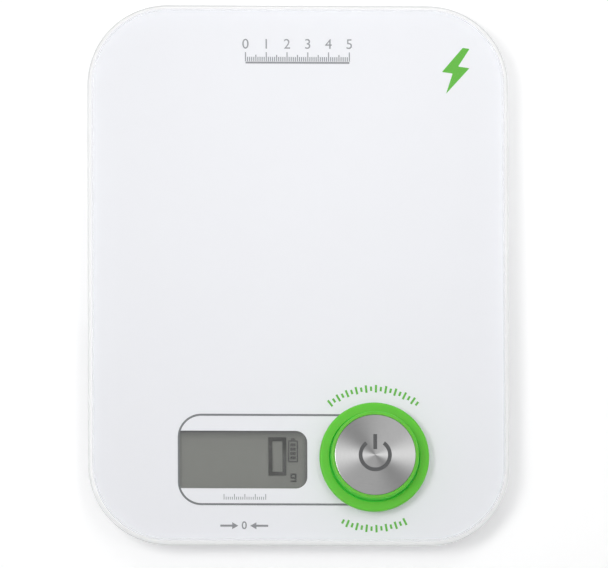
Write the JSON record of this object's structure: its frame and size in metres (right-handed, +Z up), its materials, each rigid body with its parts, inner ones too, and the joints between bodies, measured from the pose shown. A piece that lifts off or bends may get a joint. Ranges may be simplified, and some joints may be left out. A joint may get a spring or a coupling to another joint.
{
  "type": "electronic kitchen scale",
  "caption": "Flat electronic kitchen scale with a rounded white glass platform, a display window and a tall press button that powers it.",
  "frame": {"origin": "centre of the platform in plan, on the surface that the feet stand on", "axes": "+Z up, out of the glass; -Y towards the user, the edge with the display and the button; +X to the user's right"},
  "size_m": [0.178, 0.23, 0.0275],
  "materials": {
    "clear_glass": "polished",
    "white_enamel": "fired white print",
    "foam_tape": "foam",
    "white_plastic": "fine spark texture",
    "green_plastic": "satin gloss",
    "spun_steel": "spun",
    "screw_steel": "zinc plated",
    "bright_steel": "ground",
    "cell_steel": "rolled",
    "spring_steel": "drawn wire",
    "core_iron": "laminated",
    "magnet_ferrite": "sintered",
    "bush_brass": "turned",
    "copper_wire": "enamelled copper",
    "gauge_lacquer": "clear coating",
    "ivory_plastic": "moulded",
    "black_plastic": "moulded",
    "grey_plastic": "moulded",
    "foot_rubber": "matte",
    "contact_rubber": "matte",
    "display_film": "reflective liquid crystal",
    "board_green": "solder mask",
    "capacitor_can": "drawn",
    "wire_cover": "extruded"
  },
  "bodies": {
    "scale_body": {"bezel_ring": "green_plastic", "board_screws": "screw_steel", "bottom_cover": "white_plastic", "cell_retainer_back_left": "ivory_plastic", "cell_retainer_back_right": "ivory_plastic", "cell_retainer_front_left": "ivory_plastic", "cell_retainer_front_right": "ivory_plastic", "cell_wire_back_left": "wire_cover", "cell_wire_back_right": "wire_cover", "cell_wire_front_left": "wire_cover", "cell_wire_front_right": "wire_cover", "circuit_board": "board_green", "coil_bobbin": "black_plastic", "contact_strip": "contact_rubber", "cover_screws": "screw_steel", "display_glass": "display_film", "display_holder": "black_plastic", "foot_back_left": "grey_plastic", "foot_back_right": "grey_plastic", "foot_front_left": "grey_plastic", "foot_front_right": "grey_plastic", "foot_pad_back_left": "foot_rubber", "foot_pad_back_right": "foot_rubber", "foot_pad_front_left": "foot_rubber", "foot_pad_front_right": "foot_rubber", "frame_spacer": "bright_steel", "gear_pins": "bright_steel", "generator_frame": "black_plastic", "generator_lead": "wire_cover", "generator_screws": "screw_steel", "generator_side_plate": "black_plastic", "glass_platform": "clear_glass", "glass_tape": "foam_tape", "load_cell_back_left": "cell_steel", "load_cell_back_right": "cell_steel", "load_cell_front_left": "cell_steel", "load_cell_front_right": "cell_steel", "print_layer": "white_enamel", "processor_chip": "black_plastic", "rectifier_diodes": "black_plastic", "retainer_screws": "screw_steel", "rotor_bushes": "bush_brass", "stator_coil": "copper_wire", "stator_core": "core_iron", "storage_capacitor": "capacitor_can", "strain_gauges": "gauge_lacquer", "touch_contact": "contact_rubber", "touch_electrode": "copper_wire", "upper_frame": "white_plastic", "wire_sockets": "ivory_plastic"},
    "start_button": {"button_cap": "green_plastic", "steel_disc": "spun_steel", "button_rack": "ivory_plastic", "return_springs": "spring_steel"},
    "drive_gear_body": {"drive_gear": "ivory_plastic"},
    "middle_gear_body": {"middle_gear": "ivory_plastic"},
    "rotor_body": {"rotor_shaft": "bright_steel", "rotor_pinion": "ivory_plastic", "rotor_magnet": "magnet_ferrite"}
  },
  "joints": [
    {"name": "button_press", "type": "slide", "parent": "scale_body", "child": "start_button", "axis": [0, 0, -1], "range_m": [0, 0.004], "stiffness_N_per_m": 600, "springref_m": -0.003, "deforming": ["return_springs"]},
    {"name": "drive_gear_turn", "type": "hinge", "parent": "scale_body", "child": "drive_gear_body", "pos_m": [0.0317, -0.0843, 0.0136], "axis": [1, 0, 0], "range_deg": [0, 71.7]},
    {"name": "middle_gear_turn", "type": "hinge", "parent": "scale_body", "child": "middle_gear_body", "pos_m": [0.0317, -0.0763, 0.0136], "axis": [1, 0, 0], "range_deg": [-214.9, 0]},
    {"name": "rotor_turn", "type": "hinge", "parent": "scale_body", "child": "rotor_body", "pos_m": [0.0317, -0.0693, 0.0136], "axis": [1, 0, 0], "range_deg": [0, 620.8]}
  ],
  "couplings": [
    {"joint": "drive_gear_turn", "follows": "button_press", "rad_per_m": 312.5},
    {"joint": "middle_gear_turn", "follows": "button_press", "rad_per_m": -937.5},
    {"joint": "rotor_turn", "follows": "button_press", "rad_per_m": 2708.3}
  ]
}
